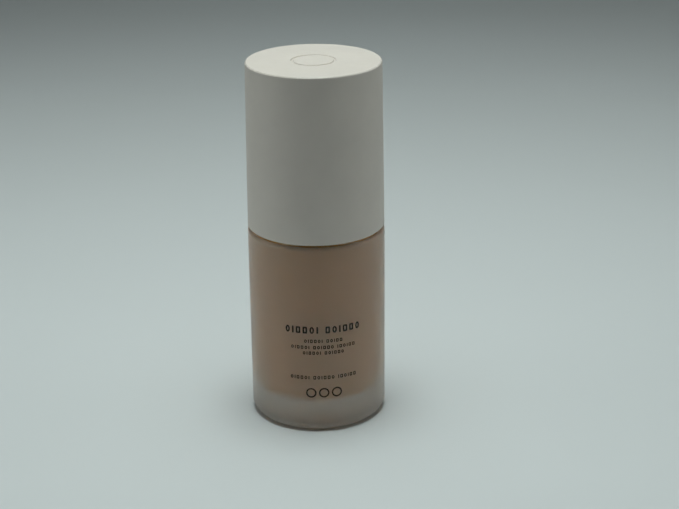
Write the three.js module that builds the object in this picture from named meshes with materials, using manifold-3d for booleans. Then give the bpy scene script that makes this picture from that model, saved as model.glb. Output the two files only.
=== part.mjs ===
// A 30 ml liquid foundation bottle: a frosted glass cylinder with a heavy base, an 18-415 screw neck,
// a treatment pump with its collar, and a pull-off overcap. Millimetres, +Z up, +X right, -Y front.
// The origin is the middle of the surface that the bottle stands on.
import * as THREE from "three";
import { mergeVertices } from "three/addons/utils/BufferGeometryUtils.js";
import Module from "manifold-3d";

const wasm = await Module();
wasm.setup();

// ---------- driving dimensions ----------

const FINE = 40; // sides of the large turned pieces
const SMALL = 20; // sides of the pump's turned pieces

const BODY_RADIUS = 18.3;
const OVERALL_HEIGHT = 97.5;
const SHOULDER_Z = 52.9;
const GLASS_WALL = 3.1;
const GLASS_BASE = 7.4;
const GLASS_SHOULDER = 1.3;
const BASE_EDGE_RADIUS = 2.6;
const BASE_PUNT = 0.8; // height of the hollow under the base
const BASE_PUNT_RADIUS = 11.5;
const CAVITY_TOP_CORNER = 1.2;
const CAVITY_FOOT_CORNER = 4;

// 18-415 neck finish: thread outside diameter 17.6, neck 15.7, height 15.6, 8 threads to the inch
const NECK_RADIUS = 7.85;
const NECK_BORE = 5.3;
const NECK_TOP = SHOULDER_Z + 15.6;
const PITCH = 25.4 / 8;
const NECK_THREAD_SIZE = 0.85;
const NECK_THREAD_RADIUS = 7.95;
const NECK_THREAD_TURNS = 1.75;
const NECK_THREAD_TOP = NECK_TOP - 1.85;
const TRANSFER_BEAD_Z = SHOULDER_Z + 3.5; // the ring under the thread
const TRANSFER_BEAD_RADIUS = 8.5;
const TURNS_TO_RELEASE = 1.5;

const FILL_GAP = 0.1; // between the liquid and the glass
const FILL_CLEARANCE = 0.3; // between the liquid and the pump

// the stack clamped on the neck, each piece a hair above the last
const STACK_GAP = 0.05;
const GASKET_Z = NECK_TOP + STACK_GAP;
const GASKET_THICKNESS = 0.9;
const GASKET_INSIDE = 5.1;
const GASKET_RADIUS = 8.3;
const HOUSING_FLANGE_Z = GASKET_Z + GASKET_THICKNESS + STACK_GAP;
const HOUSING_FLANGE = 1;
const HOUSING_FLANGE_RADIUS = 8.4;
const RETAINER_Z = HOUSING_FLANGE_Z + HOUSING_FLANGE + STACK_GAP;
const RETAINER_FLANGE = 0.8;
const RETAINER_FLANGE_RADIUS = 7.4;
const CLOSURE_PLATE_Z = RETAINER_Z + RETAINER_FLANGE + 2 * STACK_GAP;
const CLOSURE_PLATE = 1.2;
const COLLAR_PLATE_Z = CLOSURE_PLATE_Z + CLOSURE_PLATE + 2 * STACK_GAP;
const COLLAR_PLATE = 1.1;
const COLLAR_TOP = COLLAR_PLATE_Z + COLLAR_PLATE;

const CLOSURE_INSIDE = 9.1;
const CLOSURE_OUTSIDE = 10.7;
const CLOSURE_HOLE = 4.6;
const CLOSURE_THREAD_SIZE = 0.75;
const CLOSURE_THREAD_TURNS = 1.25;
const COLLAR_RADIUS = 13;
const COLLAR_WALL = 1.3;
const COLLAR_HOLE = 5.6;
const COLLAR_FLANGE_RADIUS = 15.4;
const COLLAR_FLANGE = 1.4;
const SKIRT_BASE_Z = SHOULDER_Z + 0.45; // the seam that shows round the bottle, and the overcap's lower edge

const OVERCAP_BASE_RADIUS = 18.2;
const OVERCAP_TOP_RADIUS = 17.7;
const OVERCAP_WALL = 1.7;
const OVERCAP_ROOF = 1.8;
const LINER_INSIDE = 13.3;
const LINER_WALL = 1.2;
const LINER_FLANGE_RADIUS = 16.2;
const LINER_FOOT_Z = SKIRT_BASE_Z + COLLAR_FLANGE + 0.3;

// pump: 7.2 bore, 4 stroke, 0.15 ml a press
const PUMP_BORE = 3.6;
const HOUSING_RADIUS = 4.7;
const STROKE = 4;
const SLIDE_GAP = 0.1; // between pieces that slide in each other
const STEM_RADIUS = 2.2;
const STEM_BORE = 1.15;
const STEM_NOSE_RADIUS = 1.6;
const STOP_RING = 0.8; // height of the stem's stop ring
const STOP_RING_RADIUS = 2.9;
const PORT_RADIUS = 0.4;
const ROD_HEAD_Z = 59.9;
const ROD_HEAD_RADIUS = 2.75;
const PISTON_Z = 61.6;
const PISTON_WAIST = 2.9;
const PISTON_LIP = 3.52;
const STEM_SHOULDER_Z = 66.5;
const STEM_TOP = 83.5;
const BARREL_FOOT_Z = 47;
const SPRING_SEAT_Z = 48.4;
const SPRING_WIRE = 0.28;
const SPRING_RADIUS = 2.35;
const BALL_RADIUS = 1.55;
const VALVE_Z = 45; // the narrowest place under the ball
const VALVE_RADIUS = 1;
const VALVE_SEAT_RISE = 1.2; // height of the cone that the ball rests on
const VALVE_SEAT_RADIUS = 2;
const BALL_KEEPER = 0.4; // thickness of the lip over the ball
const BALL_KEEPER_RADIUS = 1.45;
const DIP_TUBE_RADIUS = 1.6;
const DIP_TUBE_BORE = 1.05;
const DIP_TUBE_END_Z = GLASS_BASE + 1.3;
const DIP_TUBE_STOP_Z = 44.4;
const SOCKET_Z = 38.6;
const SOCKET_TOP_Z = 43.6;
const SOCKET_RADIUS = 2.6;

const RETAINER_FOOT_Z = STEM_SHOULDER_Z + STOP_RING + SLIDE_GAP;
const RETAINER_TOP = COLLAR_TOP + 0.55;
const GUIDE_RADIUS = 4.2;
const ACTUATOR_Z = COLLAR_TOP + STROKE + 0.45;
const ACTUATOR_TOP = 89.6;
const ACTUATOR_RADIUS = 8.2;
const ACTUATOR_WALL = 1.1;
const ACTUATOR_ROOF = 1.9;
const FINGER_DISH = 0.7;
const CORE_RADIUS = 3.6;
const CORE_FLANGE = 1.2;
const CORE_FLANGE_RADIUS = 6.95;
const CORE_BOSS_REACH = 6.4;
const OUTLET_RADIUS = 1;
const SPOUT_Z = 85.1;
const SPOUT_REACH = 12.4;
const SPOUT_RADIUS = 2.4;
const SPOUT_BORE = 0.75;
const SPOUT_PLUG_RADIUS = 1.9;
const SPOUT_PLUG_START = 4.15;
const SPOUT_SHOULDER = 7.2;

// ---------- materials ----------

const finish = (color, roughness, metalness = 0, more = {}) =>
  new THREE.MeshStandardMaterial({ color, roughness, metalness, ...more });

const frostedGlass = finish(0xdfe4e0, 0.55, 0, { transparent: true, opacity: 0.45 });
const foundation = finish(0xcea27c, 0.4);
const matteWhite = finish(0xe9e7dd, 0.6);
const linerWhite = finish(0xf2f1ec, 0.4);
const naturalPlastic = finish(0xe8ebe8, 0.35);
const softPlastic = finish(0xf4f4f2, 0.5);
const steel = finish(0xb9bcc0, 0.25, 1);

// ---------- shapes ----------

const TURN = 2 * Math.PI;
const RIGHT_ANGLE = Math.PI / 2;

// A turned piece about Z from a closed outline of radius and height.
function turned(outline, sides, arcSteps = 2) {
  const points = outline.getPoints(arcSteps);
  const onAxis = points[0].x === 0;
  if (!onAxis && !points[0].equals(points.at(-1))) points.push(points[0].clone());
  if (THREE.ShapeUtils.area(points) < 0) points.reverse();
  return new THREE.LatheGeometry(points, sides).rotateX(RIGHT_ANGLE);
}

const outline = (...corners) => {
  const path = new THREE.Path();
  corners.forEach(([radius, z], i) => (i ? path.lineTo(radius, z) : path.moveTo(radius, z)));
  return path;
};

const ring = (inside, outside, low, high, sides) =>
  turned(outline([inside, low], [outside, low], [outside, high], [inside, high]), sides);

// A rod of radius r along Y between two places, at height z.
const rodAlongY = (r, from, to, z, sides) =>
  new THREE.CylinderGeometry(r, r, Math.abs(to - from), sides).translate(0, (from + to) / 2, z);

const rodAlongZ = (r, low, high, sides) =>
  new THREE.CylinderGeometry(r, r, high - low, sides).rotateX(RIGHT_ANGLE).translate(0, 0, (low + high) / 2);

// A rising right-handed helix. Its radius is given by a function of the share of its length.
class Helix extends THREE.Curve {
  constructor(radiusAt, heightAt, turns, startAngle) {
    super();
    Object.assign(this, { radiusAt, heightAt, turns, startAngle });
  }
  getPoint(t, target = new THREE.Vector3()) {
    const angle = this.startAngle + TURN * this.turns * t;
    const radius = this.radiusAt(t);
    return target.set(radius * Math.cos(angle), radius * Math.sin(angle), this.heightAt(t));
  }
}

function coil(curve, wire, stepsPerTurn, sides) {
  const section = new THREE.Shape().absarc(0, 0, wire, 0, TURN);
  return new THREE.ExtrudeGeometry(section, {
    curveSegments: sides / 2,
    steps: Math.round(stepsPerTurn * curve.turns),
    extrudePath: curve,
  });
}

// ---------- booleans ----------

function toSolid(geometry) {
  const bare = geometry.clone();
  bare.deleteAttribute("normal");
  bare.deleteAttribute("uv");
  const merged = mergeVertices(bare, 1e-3);
  const vertProperties = merged.attributes.position.array;
  const triVerts = new Uint32Array(merged.index.array);
  return new wasm.Manifold(new wasm.Mesh({ numProp: 3, vertProperties, triVerts }));
}

function fromSolid(solid) {
  const { numProp, vertProperties, triVerts } = solid.getMesh();
  const places = new Float32Array((vertProperties.length / numProp) * 3);
  for (let i = 0; i < places.length / 3; i++)
    places.set(vertProperties.subarray(i * numProp, i * numProp + 3), i * 3);
  const geometry = new THREE.BufferGeometry();
  geometry.setAttribute("position", new THREE.BufferAttribute(places, 3));
  geometry.setIndex(new THREE.BufferAttribute(new Uint32Array(triVerts), 1));
  geometry.computeVertexNormals();
  return geometry;
}

const join = (...pieces) => fromSolid(pieces.map(toSolid).reduce((a, b) => a.add(b)));
const cut = (piece, ...tools) =>
  fromSolid(tools.map(toSolid).reduce((a, b) => a.subtract(b), toSolid(piece)));

// ---------- glass and contents ----------

const cavityRadius = BODY_RADIUS - GLASS_WALL;
const cavityTop = SHOULDER_Z - GLASS_SHOULDER;
const neckThreadBottom = NECK_THREAD_TOP - PITCH * NECK_THREAD_TURNS;
const angleAt = (z) => (TURN * (z - neckThreadBottom)) / PITCH; // the thread's angle at a height

// A thread's ridge. Its ends fade by moving sideways into the wall that carries it.
function threadRidge({ radius, size, bottom, turns, startAngle, fade = 0 }) {
  const ends = 0.06;
  const radiusAt = (t) => radius + fade * Math.max(0, 1 - Math.min(t, 1 - t) / ends);
  const heightAt = (t) => bottom + PITCH * turns * t;
  return coil(new Helix(radiusAt, heightAt, turns, startAngle), size, 24, 8);
}

function glassBottle() {
  const edge = BASE_EDGE_RADIUS;
  const rim = 1.3; // radius of the shoulder's outer edge
  const root = 0.8; // fillet at the foot of the neck
  const lip = 0.4; // bevel of the neck's rim
  const bead = TRANSFER_BEAD_Z;
  const top = cavityTop - CAVITY_TOP_CORNER;
  const foot = GLASS_BASE + CAVITY_FOOT_CORNER;
  const p = new THREE.Path();
  p.moveTo(0, BASE_PUNT);
  p.quadraticCurveTo(BASE_PUNT_RADIUS / 2, BASE_PUNT, BASE_PUNT_RADIUS, 0);
  p.lineTo(BODY_RADIUS - edge, 0);
  p.absarc(BODY_RADIUS - edge, edge, edge, -RIGHT_ANGLE, 0);
  p.lineTo(BODY_RADIUS, SHOULDER_Z - rim);
  p.absarc(BODY_RADIUS - rim, SHOULDER_Z - rim, rim, 0, RIGHT_ANGLE);
  p.lineTo(NECK_RADIUS + root, SHOULDER_Z);
  p.absarc(NECK_RADIUS + root, SHOULDER_Z + root, root, -RIGHT_ANGLE, -Math.PI, true);
  p.lineTo(NECK_RADIUS, bead);
  p.lineTo(TRANSFER_BEAD_RADIUS, bead + lip);
  p.lineTo(TRANSFER_BEAD_RADIUS, bead + lip + 1);
  p.lineTo(NECK_RADIUS, bead + 2 * lip + 1);
  p.lineTo(NECK_RADIUS, NECK_TOP - lip);
  p.lineTo(NECK_RADIUS - lip, NECK_TOP);
  p.lineTo(NECK_BORE + lip, NECK_TOP);
  p.lineTo(NECK_BORE, NECK_TOP - lip);
  p.lineTo(NECK_BORE, SHOULDER_Z);
  p.quadraticCurveTo(NECK_BORE, cavityTop, NECK_BORE + 2 * GLASS_SHOULDER, cavityTop);
  p.lineTo(cavityRadius - CAVITY_TOP_CORNER, cavityTop);
  p.absarc(cavityRadius - CAVITY_TOP_CORNER, top, CAVITY_TOP_CORNER, RIGHT_ANGLE, 0, true);
  p.lineTo(cavityRadius, foot);
  p.absarc(cavityRadius - CAVITY_FOOT_CORNER, foot, CAVITY_FOOT_CORNER, 0, -RIGHT_ANGLE, true);
  p.lineTo(0, GLASS_BASE);
  const thread = threadRidge({
    radius: NECK_THREAD_RADIUS,
    size: NECK_THREAD_SIZE,
    bottom: neckThreadBottom,
    turns: NECK_THREAD_TURNS,
    startAngle: 0,
    fade: -1,
  });
  return join(turned(p, FINE, 3), thread);
}

// 30 ml of liquid. It leaves a well for the pump, which widens upwards so that the pump can lift out.
function foundationLiquid() {
  const radius = cavityRadius - FILL_GAP;
  const top = cavityTop - FILL_GAP;
  const topCorner = CAVITY_TOP_CORNER;
  const footCorner = CAVITY_FOOT_CORNER;
  const floor = GLASS_BASE + FILL_GAP;
  const barrel = HOUSING_RADIUS + FILL_CLEARANCE;
  const socket = SOCKET_RADIUS + FILL_CLEARANCE;
  const tube = DIP_TUBE_RADIUS + FILL_CLEARANCE;
  const p = new THREE.Path();
  p.moveTo(0, floor);
  p.lineTo(radius - footCorner, floor);
  p.absarc(radius - footCorner, floor + footCorner, footCorner, -RIGHT_ANGLE, 0);
  p.lineTo(radius, top - topCorner);
  p.absarc(radius - topCorner, top - topCorner, topCorner, 0, RIGHT_ANGLE);
  p.lineTo(barrel, top);
  p.lineTo(barrel, BARREL_FOOT_Z - FILL_CLEARANCE);
  p.lineTo(socket, SOCKET_TOP_Z - FILL_CLEARANCE);
  p.lineTo(socket, SOCKET_Z - FILL_CLEARANCE);
  p.lineTo(tube, SOCKET_Z - FILL_CLEARANCE);
  p.lineTo(tube, DIP_TUBE_END_Z - FILL_CLEARANCE);
  p.lineTo(0, DIP_TUBE_END_Z - FILL_CLEARANCE);
  return turned(p, FINE, 3);
}

// ---------- overcap ----------

function overcapShell() {
  const edge = 0.5;
  const bevel = 0.25;
  const grooveIn = 5.2; // a plain ring sunk in the top
  const grooveOut = 5.8;
  const grooveDepth = 0.25;
  const draft = 0.1; // the wall is a little thinner at the top
  const top = OVERALL_HEIGHT;
  const p = new THREE.Path();
  p.moveTo(0, top);
  p.lineTo(grooveIn, top);
  p.lineTo(grooveIn, top - grooveDepth);
  p.lineTo(grooveOut, top - grooveDepth);
  p.lineTo(grooveOut, top);
  p.lineTo(OVERCAP_TOP_RADIUS - edge, top);
  p.absarc(OVERCAP_TOP_RADIUS - edge, top - edge, edge, RIGHT_ANGLE, 0, true);
  p.lineTo(OVERCAP_BASE_RADIUS, SKIRT_BASE_Z + bevel);
  p.lineTo(OVERCAP_BASE_RADIUS - bevel, SKIRT_BASE_Z);
  p.lineTo(OVERCAP_BASE_RADIUS - OVERCAP_WALL, SKIRT_BASE_Z);
  p.lineTo(OVERCAP_TOP_RADIUS - OVERCAP_WALL + draft, top - OVERCAP_ROOF);
  p.lineTo(0, top - OVERCAP_ROOF);
  return turned(p, FINE);
}

// A ring of ribs round the axis, each a block at a radius and a middle height.
const ribRing = (count, size, radius, height, start) =>
  Array.from({ length: count }, (_, i) =>
    new THREE.BoxGeometry(...size).translate(radius, 0, height).rotateZ(start + (TURN * i) / count),
  );

// The inner cup that grips the collar. Ribs space it in the shell, and a snap bead rings its mouth.
function overcapLiner() {
  const outside = LINER_INSIDE + LINER_WALL;
  const top = OVERALL_HEIGHT - OVERCAP_ROOF - 0.3;
  const foot = LINER_FOOT_Z;
  const bead = LINER_INSIDE - 0.15;
  const leadIn = 0.3;
  const cup = turned(
    outline(
      [0, top], [outside, top], [outside, foot + 1],
      [LINER_FLANGE_RADIUS, foot + 1], [LINER_FLANGE_RADIUS, foot],
      [LINER_INSIDE + leadIn, foot], [LINER_INSIDE, foot + leadIn],
      [LINER_INSIDE, foot + 1.6], [bead, foot + 2], [bead, foot + 2.4], [LINER_INSIDE, foot + 2.8],
      [LINER_INSIDE, top - LINER_WALL], [0, top - LINER_WALL],
    ),
    FINE,
  );
  const ribCount = 8;
  const ribHeight = 10;
  const ribReach = OVERCAP_TOP_RADIUS - OVERCAP_WALL - 0.15;
  const root = 0.4; // the part of each rib inside the cup's wall
  const size = [ribReach - outside + root, 0.9, ribHeight];
  const middle = top - ribHeight / 2 - 0.3;
  const ribs = ribRing(ribCount, size, (ribReach + outside - root) / 2, middle, Math.PI / ribCount);
  return join(cup, ...ribs);
}

// ---------- collar and closure ----------

// The smooth sleeve that the overcap slides over. Its ribs grip the screw closure inside it.
function collarSleeve() {
  const inside = COLLAR_RADIUS - COLLAR_WALL;
  const flangeTop = SKIRT_BASE_Z + COLLAR_FLANGE;
  const edge = 0.8;
  const bevel = 0.4;
  const p = new THREE.Path();
  p.moveTo(inside, SKIRT_BASE_Z);
  p.lineTo(COLLAR_FLANGE_RADIUS, SKIRT_BASE_Z);
  p.lineTo(COLLAR_FLANGE_RADIUS, flangeTop);
  p.lineTo(COLLAR_RADIUS, flangeTop);
  p.lineTo(COLLAR_RADIUS, COLLAR_TOP - edge);
  p.absarc(COLLAR_RADIUS - edge, COLLAR_TOP - edge, edge, 0, RIGHT_ANGLE);
  p.lineTo(COLLAR_HOLE + bevel, COLLAR_TOP);
  p.lineTo(COLLAR_HOLE, COLLAR_TOP - bevel);
  p.lineTo(COLLAR_HOLE, COLLAR_PLATE_Z);
  p.lineTo(inside, COLLAR_PLATE_Z);
  const ribHeight = 14;
  const ribDepth = inside - CLOSURE_OUTSIDE - 0.2;
  const root = 0.4; // the part of each rib inside the sleeve's wall
  const size = [ribDepth + root, 0.8, ribHeight];
  const ribs = ribRing(12, size, inside + (root - ribDepth) / 2, COLLAR_PLATE_Z - ribHeight / 2 - 1, 0);
  return join(turned(p, FINE), ...ribs);
}

function screwClosure() {
  const foot = SKIRT_BASE_Z + 0.9;
  const top = CLOSURE_PLATE_Z + CLOSURE_PLATE;
  const skirt = turned(
    outline(
      [CLOSURE_INSIDE, foot], [CLOSURE_OUTSIDE, foot], [CLOSURE_OUTSIDE, top], [CLOSURE_HOLE, top],
      [CLOSURE_HOLE, CLOSURE_PLATE_Z], [CLOSURE_INSIDE, CLOSURE_PLATE_Z],
    ),
    FINE,
  );
  const start = NECK_THREAD_TOP - PITCH * TURNS_TO_RELEASE;
  const thread = threadRidge({
    radius: CLOSURE_INSIDE + 0.05,
    size: CLOSURE_THREAD_SIZE,
    bottom: start - PITCH / 2, // under the neck's ridge
    turns: CLOSURE_THREAD_TURNS,
    startAngle: angleAt(start),
  });
  return join(skirt, thread);
}

const neckGasket = () => ring(GASKET_INSIDE, GASKET_RADIUS, GASKET_Z, GASKET_Z + GASKET_THICKNESS, FINE);

// ---------- pump ----------

function pumpHousing() {
  const top = HOUSING_FLANGE_Z + HOUSING_FLANGE;
  const socketBore = DIP_TUBE_RADIUS + 0.08;
  const keeper = SPRING_SEAT_Z - BALL_KEEPER;
  const body = turned(
    outline(
      [PUMP_BORE, top], [HOUSING_FLANGE_RADIUS, top], [HOUSING_FLANGE_RADIUS, HOUSING_FLANGE_Z],
      [HOUSING_RADIUS, HOUSING_FLANGE_Z], [HOUSING_RADIUS, BARREL_FOOT_Z],
      [SOCKET_RADIUS, SOCKET_TOP_Z], [SOCKET_RADIUS, SOCKET_Z], [socketBore, SOCKET_Z],
      [socketBore, DIP_TUBE_STOP_Z], [VALVE_RADIUS, DIP_TUBE_STOP_Z], [VALVE_RADIUS, VALVE_Z],
      [VALVE_SEAT_RADIUS, VALVE_Z + VALVE_SEAT_RISE], [VALVE_SEAT_RADIUS, keeper],
      [BALL_KEEPER_RADIUS, keeper], [BALL_KEEPER_RADIUS, SPRING_SEAT_Z], [PUMP_BORE, SPRING_SEAT_Z],
    ),
    SMALL,
  );
  const vent = new THREE.CylinderGeometry(0.45, 0.45, 3, 12)
    .rotateZ(RIGHT_ANGLE)
    .translate((PUMP_BORE + HOUSING_RADIUS) / 2, 0, NECK_TOP - 2);
  return cut(body, vent);
}

// It snaps on top of the housing, guides the stem and stops the piston.
function stemRetainer() {
  const bore = STEM_RADIUS + 0.12;
  const plug = PUMP_BORE - 0.08;
  const plate = RETAINER_Z + RETAINER_FLANGE;
  const bevel = 0.3;
  return turned(
    outline(
      [bore, RETAINER_FOOT_Z], [plug, RETAINER_FOOT_Z], [plug, RETAINER_Z],
      [RETAINER_FLANGE_RADIUS, RETAINER_Z], [RETAINER_FLANGE_RADIUS, plate], [GUIDE_RADIUS, plate],
      [GUIDE_RADIUS, RETAINER_TOP - bevel], [GUIDE_RADIUS - bevel, RETAINER_TOP], [bore, RETAINER_TOP],
    ),
    SMALL,
  );
}

// A compression spring whose end turns lie close.
function returnSpring() {
  const turns = 6.5;
  const low = SPRING_SEAT_Z + SPRING_WIRE + STACK_GAP;
  const high = ROD_HEAD_Z - SPRING_WIRE - STACK_GAP;
  const closed = 1 / turns; // share of the length in each end turn
  const closedRise = (2.4 * SPRING_WIRE) / (high - low);
  const share = (t) => {
    if (t < closed) return (closedRise * t) / closed;
    if (t > 1 - closed) return 1 - (closedRise * (1 - t)) / closed;
    return closedRise + ((t - closed) / (1 - 2 * closed)) * (1 - 2 * closedRise);
  };
  const heightAt = (t) => low + (high - low) * share(t);
  return coil(new Helix(() => SPRING_RADIUS, heightAt, turns, 0), SPRING_WIRE, 14, 6);
}

function piston() {
  const bore = STEM_NOSE_RADIUS + SLIDE_GAP;
  const top = PISTON_Z + 3.9;
  const flare = 0.4; // how far the lips reach past the piston's body
  return turned(
    outline(
      [bore, PISTON_Z], [PISTON_WAIST, PISTON_Z], [PISTON_LIP, PISTON_Z - flare],
      [PISTON_LIP, PISTON_Z + 0.8], [PISTON_WAIST, PISTON_Z + 1.4], [PISTON_WAIST, PISTON_Z + 2.8],
      [PISTON_LIP, PISTON_Z + 3.4], [PISTON_LIP, top + 0.3], [PISTON_WAIST, top], [bore, top],
    ),
    SMALL,
  );
}

// Its head seals the piston from below and carries the spring. Its fins grip the stem's bore and
// leave four channels past them.
function pistonRod() {
  const top = PISTON_Z - SLIDE_GAP;
  const spigot = 1.9; // it centres the spring
  const head = turned(
    outline(
      [0, ROD_HEAD_Z - 1], [spigot - 0.2, ROD_HEAD_Z - 1], [spigot, ROD_HEAD_Z],
      [ROD_HEAD_RADIUS, ROD_HEAD_Z], [ROD_HEAD_RADIUS, ROD_HEAD_Z + 0.8], [spigot + 0.2, top], [0, top],
    ),
    SMALL,
  );
  const finHeight = 3.2;
  const finWidth = 2 * (STEM_BORE - 0.1);
  const fin = new THREE.BoxGeometry(finWidth, 0.6, finHeight).translate(0, 0, top + finHeight / 2 - 0.2);
  return join(head, fin.clone().rotateZ(RIGHT_ANGLE / 2), fin.clone().rotateZ(-RIGHT_ANGLE / 2));
}

// The piston slides on the stem's nose, under its stop ring, and covers the ports at rest.
function pumpStem() {
  const ringTop = STEM_SHOULDER_Z + STOP_RING;
  const tube = turned(
    outline(
      [STEM_BORE, PISTON_Z], [STEM_NOSE_RADIUS, PISTON_Z], [STEM_NOSE_RADIUS, STEM_SHOULDER_Z],
      [STOP_RING_RADIUS, STEM_SHOULDER_Z], [STOP_RING_RADIUS, ringTop], [STEM_RADIUS, ringTop],
      [STEM_RADIUS, STEM_TOP - 0.4], [STEM_RADIUS - 0.3, STEM_TOP], [STEM_BORE, STEM_TOP],
    ),
    SMALL,
  );
  const ports = rodAlongY(PORT_RADIUS, -STEM_RADIUS, STEM_RADIUS, PISTON_Z + PORT_RADIUS + 0.15, 10);
  return cut(tube, ports);
}

// The ball lies in its conical seat, a hair above it.
function inletBall() {
  const seatWidth = VALVE_SEAT_RADIUS - VALVE_RADIUS;
  const clear = (BALL_RADIUS + STACK_GAP) * Math.hypot(seatWidth, VALVE_SEAT_RISE);
  const height = VALVE_Z + (clear - VALVE_RADIUS * VALVE_SEAT_RISE) / seatWidth;
  return new THREE.SphereGeometry(BALL_RADIUS, 16, 10).translate(0, 0, height);
}

// The lower end is cut on a slant so that it can't seal against the floor.
function dipTube() {
  const tube = ring(DIP_TUBE_BORE, DIP_TUBE_RADIUS, DIP_TUBE_END_Z, DIP_TUBE_STOP_Z - 0.2, SMALL);
  const knife = new THREE.BoxGeometry(10, 6, 6).translate(0, 0, -3).rotateX(-Math.PI / 4);
  knife.translate(0, DIP_TUBE_RADIUS, DIP_TUBE_END_Z);
  return cut(tube, knife);
}

// ---------- actuator ----------

function actuatorShell() {
  const edge = 1;
  const inside = ACTUATOR_RADIUS - ACTUATOR_WALL;
  const roof = ACTUATOR_TOP - ACTUATOR_ROOF;
  const dish = ACTUATOR_TOP - FINGER_DISH;
  const p = new THREE.Path();
  p.moveTo(0, dish);
  p.quadraticCurveTo(ACTUATOR_RADIUS / 2, dish, ACTUATOR_RADIUS - edge, ACTUATOR_TOP);
  p.absarc(ACTUATOR_RADIUS - edge, ACTUATOR_TOP - edge, edge, RIGHT_ANGLE, 0, true);
  p.lineTo(ACTUATOR_RADIUS, ACTUATOR_Z);
  p.lineTo(inside, ACTUATOR_Z);
  p.lineTo(inside, roof);
  p.lineTo(0, roof);
  return cut(turned(p, FINE), rodAlongY(SPOUT_RADIUS + 0.15, -5, -10, SPOUT_Z, 20));
}

function actuatorCore() {
  const bottom = RETAINER_TOP + STROKE + 0.3;
  const top = ACTUATOR_TOP - ACTUATOR_ROOF - 0.2;
  const flange = top - CORE_FLANGE;
  const post = turned(
    outline(
      [0, bottom], [CORE_RADIUS, bottom], [CORE_RADIUS, flange], [CORE_FLANGE_RADIUS, flange],
      [CORE_FLANGE_RADIUS, top], [0, top],
    ),
    SMALL,
  );
  const boss = rodAlongY(SPOUT_RADIUS, 0, -CORE_BOSS_REACH, SPOUT_Z, 20);
  const past = -CORE_BOSS_REACH - 1;
  const seatStart = 0.15 - SPOUT_PLUG_START;
  const socket = rodAlongZ(STEM_RADIUS + 0.07, bottom - 1, STEM_TOP + 0.1, SMALL);
  const duct = rodAlongZ(OUTLET_RADIUS, STEM_TOP - 1, SPOUT_Z, 12);
  const outlet = rodAlongY(OUTLET_RADIUS, OUTLET_RADIUS, past, SPOUT_Z, 12);
  const seat = rodAlongY(SPOUT_PLUG_RADIUS + 0.08, seatStart, past, SPOUT_Z, 16);
  return cut(join(post, boss), socket, duct, outlet, seat);
}

// The spout, pushed through the button's side into the core. It is turned about its own axis, along -Y.
function nozzleInsert() {
  const bevel = 0.6;
  const mouth = 0.5;
  return turned(
    outline(
      [SPOUT_BORE, SPOUT_PLUG_START], [SPOUT_PLUG_RADIUS, SPOUT_PLUG_START],
      [SPOUT_PLUG_RADIUS, SPOUT_SHOULDER], [SPOUT_RADIUS, SPOUT_SHOULDER],
      [SPOUT_RADIUS, SPOUT_REACH - 1.5 * bevel], [SPOUT_RADIUS - bevel, SPOUT_REACH],
      [SPOUT_BORE + mouth, SPOUT_REACH], [SPOUT_BORE, SPOUT_REACH - bevel],
    ),
    16,
  ).rotateX(RIGHT_ANGLE);
}

// ---------- assembly ----------

const bottle = new THREE.Group();

function place(group, name, geometry, material, height = 0) {
  const mesh = new THREE.Mesh(geometry, material);
  mesh.name = name;
  mesh.position.z = height;
  group.add(mesh);
}

const pump = new THREE.Group();
const closure = new THREE.Group();
const overcap = new THREE.Group();
const actuator = new THREE.Group();
bottle.add(pump);
pump.add(closure, actuator);
closure.add(overcap);

place(bottle, "glass_bottle", glassBottle(), frostedGlass);
place(bottle, "foundation_liquid", foundationLiquid(), foundation);

place(pump, "pump_housing", pumpHousing(), naturalPlastic);
place(pump, "stem_retainer", stemRetainer(), linerWhite);
place(pump, "neck_gasket", neckGasket(), softPlastic);
place(pump, "dip_tube", dipTube(), naturalPlastic);
place(pump, "return_spring", returnSpring(), steel);
place(pump, "inlet_ball", inletBall(), steel);
place(pump, "pump_stem", pumpStem(), linerWhite);
place(pump, "piston_rod", pistonRod(), linerWhite);
place(pump, "piston", piston(), softPlastic);

place(closure, "screw_closure", screwClosure(), linerWhite);
place(closure, "collar_sleeve", collarSleeve(), matteWhite);

place(overcap, "overcap_shell", overcapShell(), matteWhite);
place(overcap, "overcap_liner", overcapLiner(), linerWhite);

place(actuator, "actuator_shell", actuatorShell(), matteWhite);
place(actuator, "actuator_core", actuatorCore(), linerWhite);
place(actuator, "nozzle_insert", nozzleInsert(), matteWhite, SPOUT_Z);

export default bottle;
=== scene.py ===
"""The looks of a frosted glass foundation bottle with its pump and overcap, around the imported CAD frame."""
import cmath
import math

import bmesh
import bpy
from mathutils import Matrix, Vector


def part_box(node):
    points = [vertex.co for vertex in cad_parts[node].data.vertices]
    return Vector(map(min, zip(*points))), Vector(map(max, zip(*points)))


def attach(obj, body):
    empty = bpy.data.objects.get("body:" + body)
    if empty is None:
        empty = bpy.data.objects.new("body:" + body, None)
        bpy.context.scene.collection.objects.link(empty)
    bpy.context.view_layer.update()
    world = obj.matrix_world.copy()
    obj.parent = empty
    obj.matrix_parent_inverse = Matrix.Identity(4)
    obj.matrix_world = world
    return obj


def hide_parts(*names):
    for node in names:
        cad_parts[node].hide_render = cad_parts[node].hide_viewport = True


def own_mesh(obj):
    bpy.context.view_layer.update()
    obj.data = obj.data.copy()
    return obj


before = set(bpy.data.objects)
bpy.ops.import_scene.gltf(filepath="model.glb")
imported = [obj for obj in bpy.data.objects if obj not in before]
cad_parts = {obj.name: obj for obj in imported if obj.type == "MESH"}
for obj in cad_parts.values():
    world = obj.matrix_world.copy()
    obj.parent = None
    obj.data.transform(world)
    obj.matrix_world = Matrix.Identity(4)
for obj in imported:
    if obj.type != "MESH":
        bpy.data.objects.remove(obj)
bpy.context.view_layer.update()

# ---------- sizes, in millimetres ----------

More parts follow.
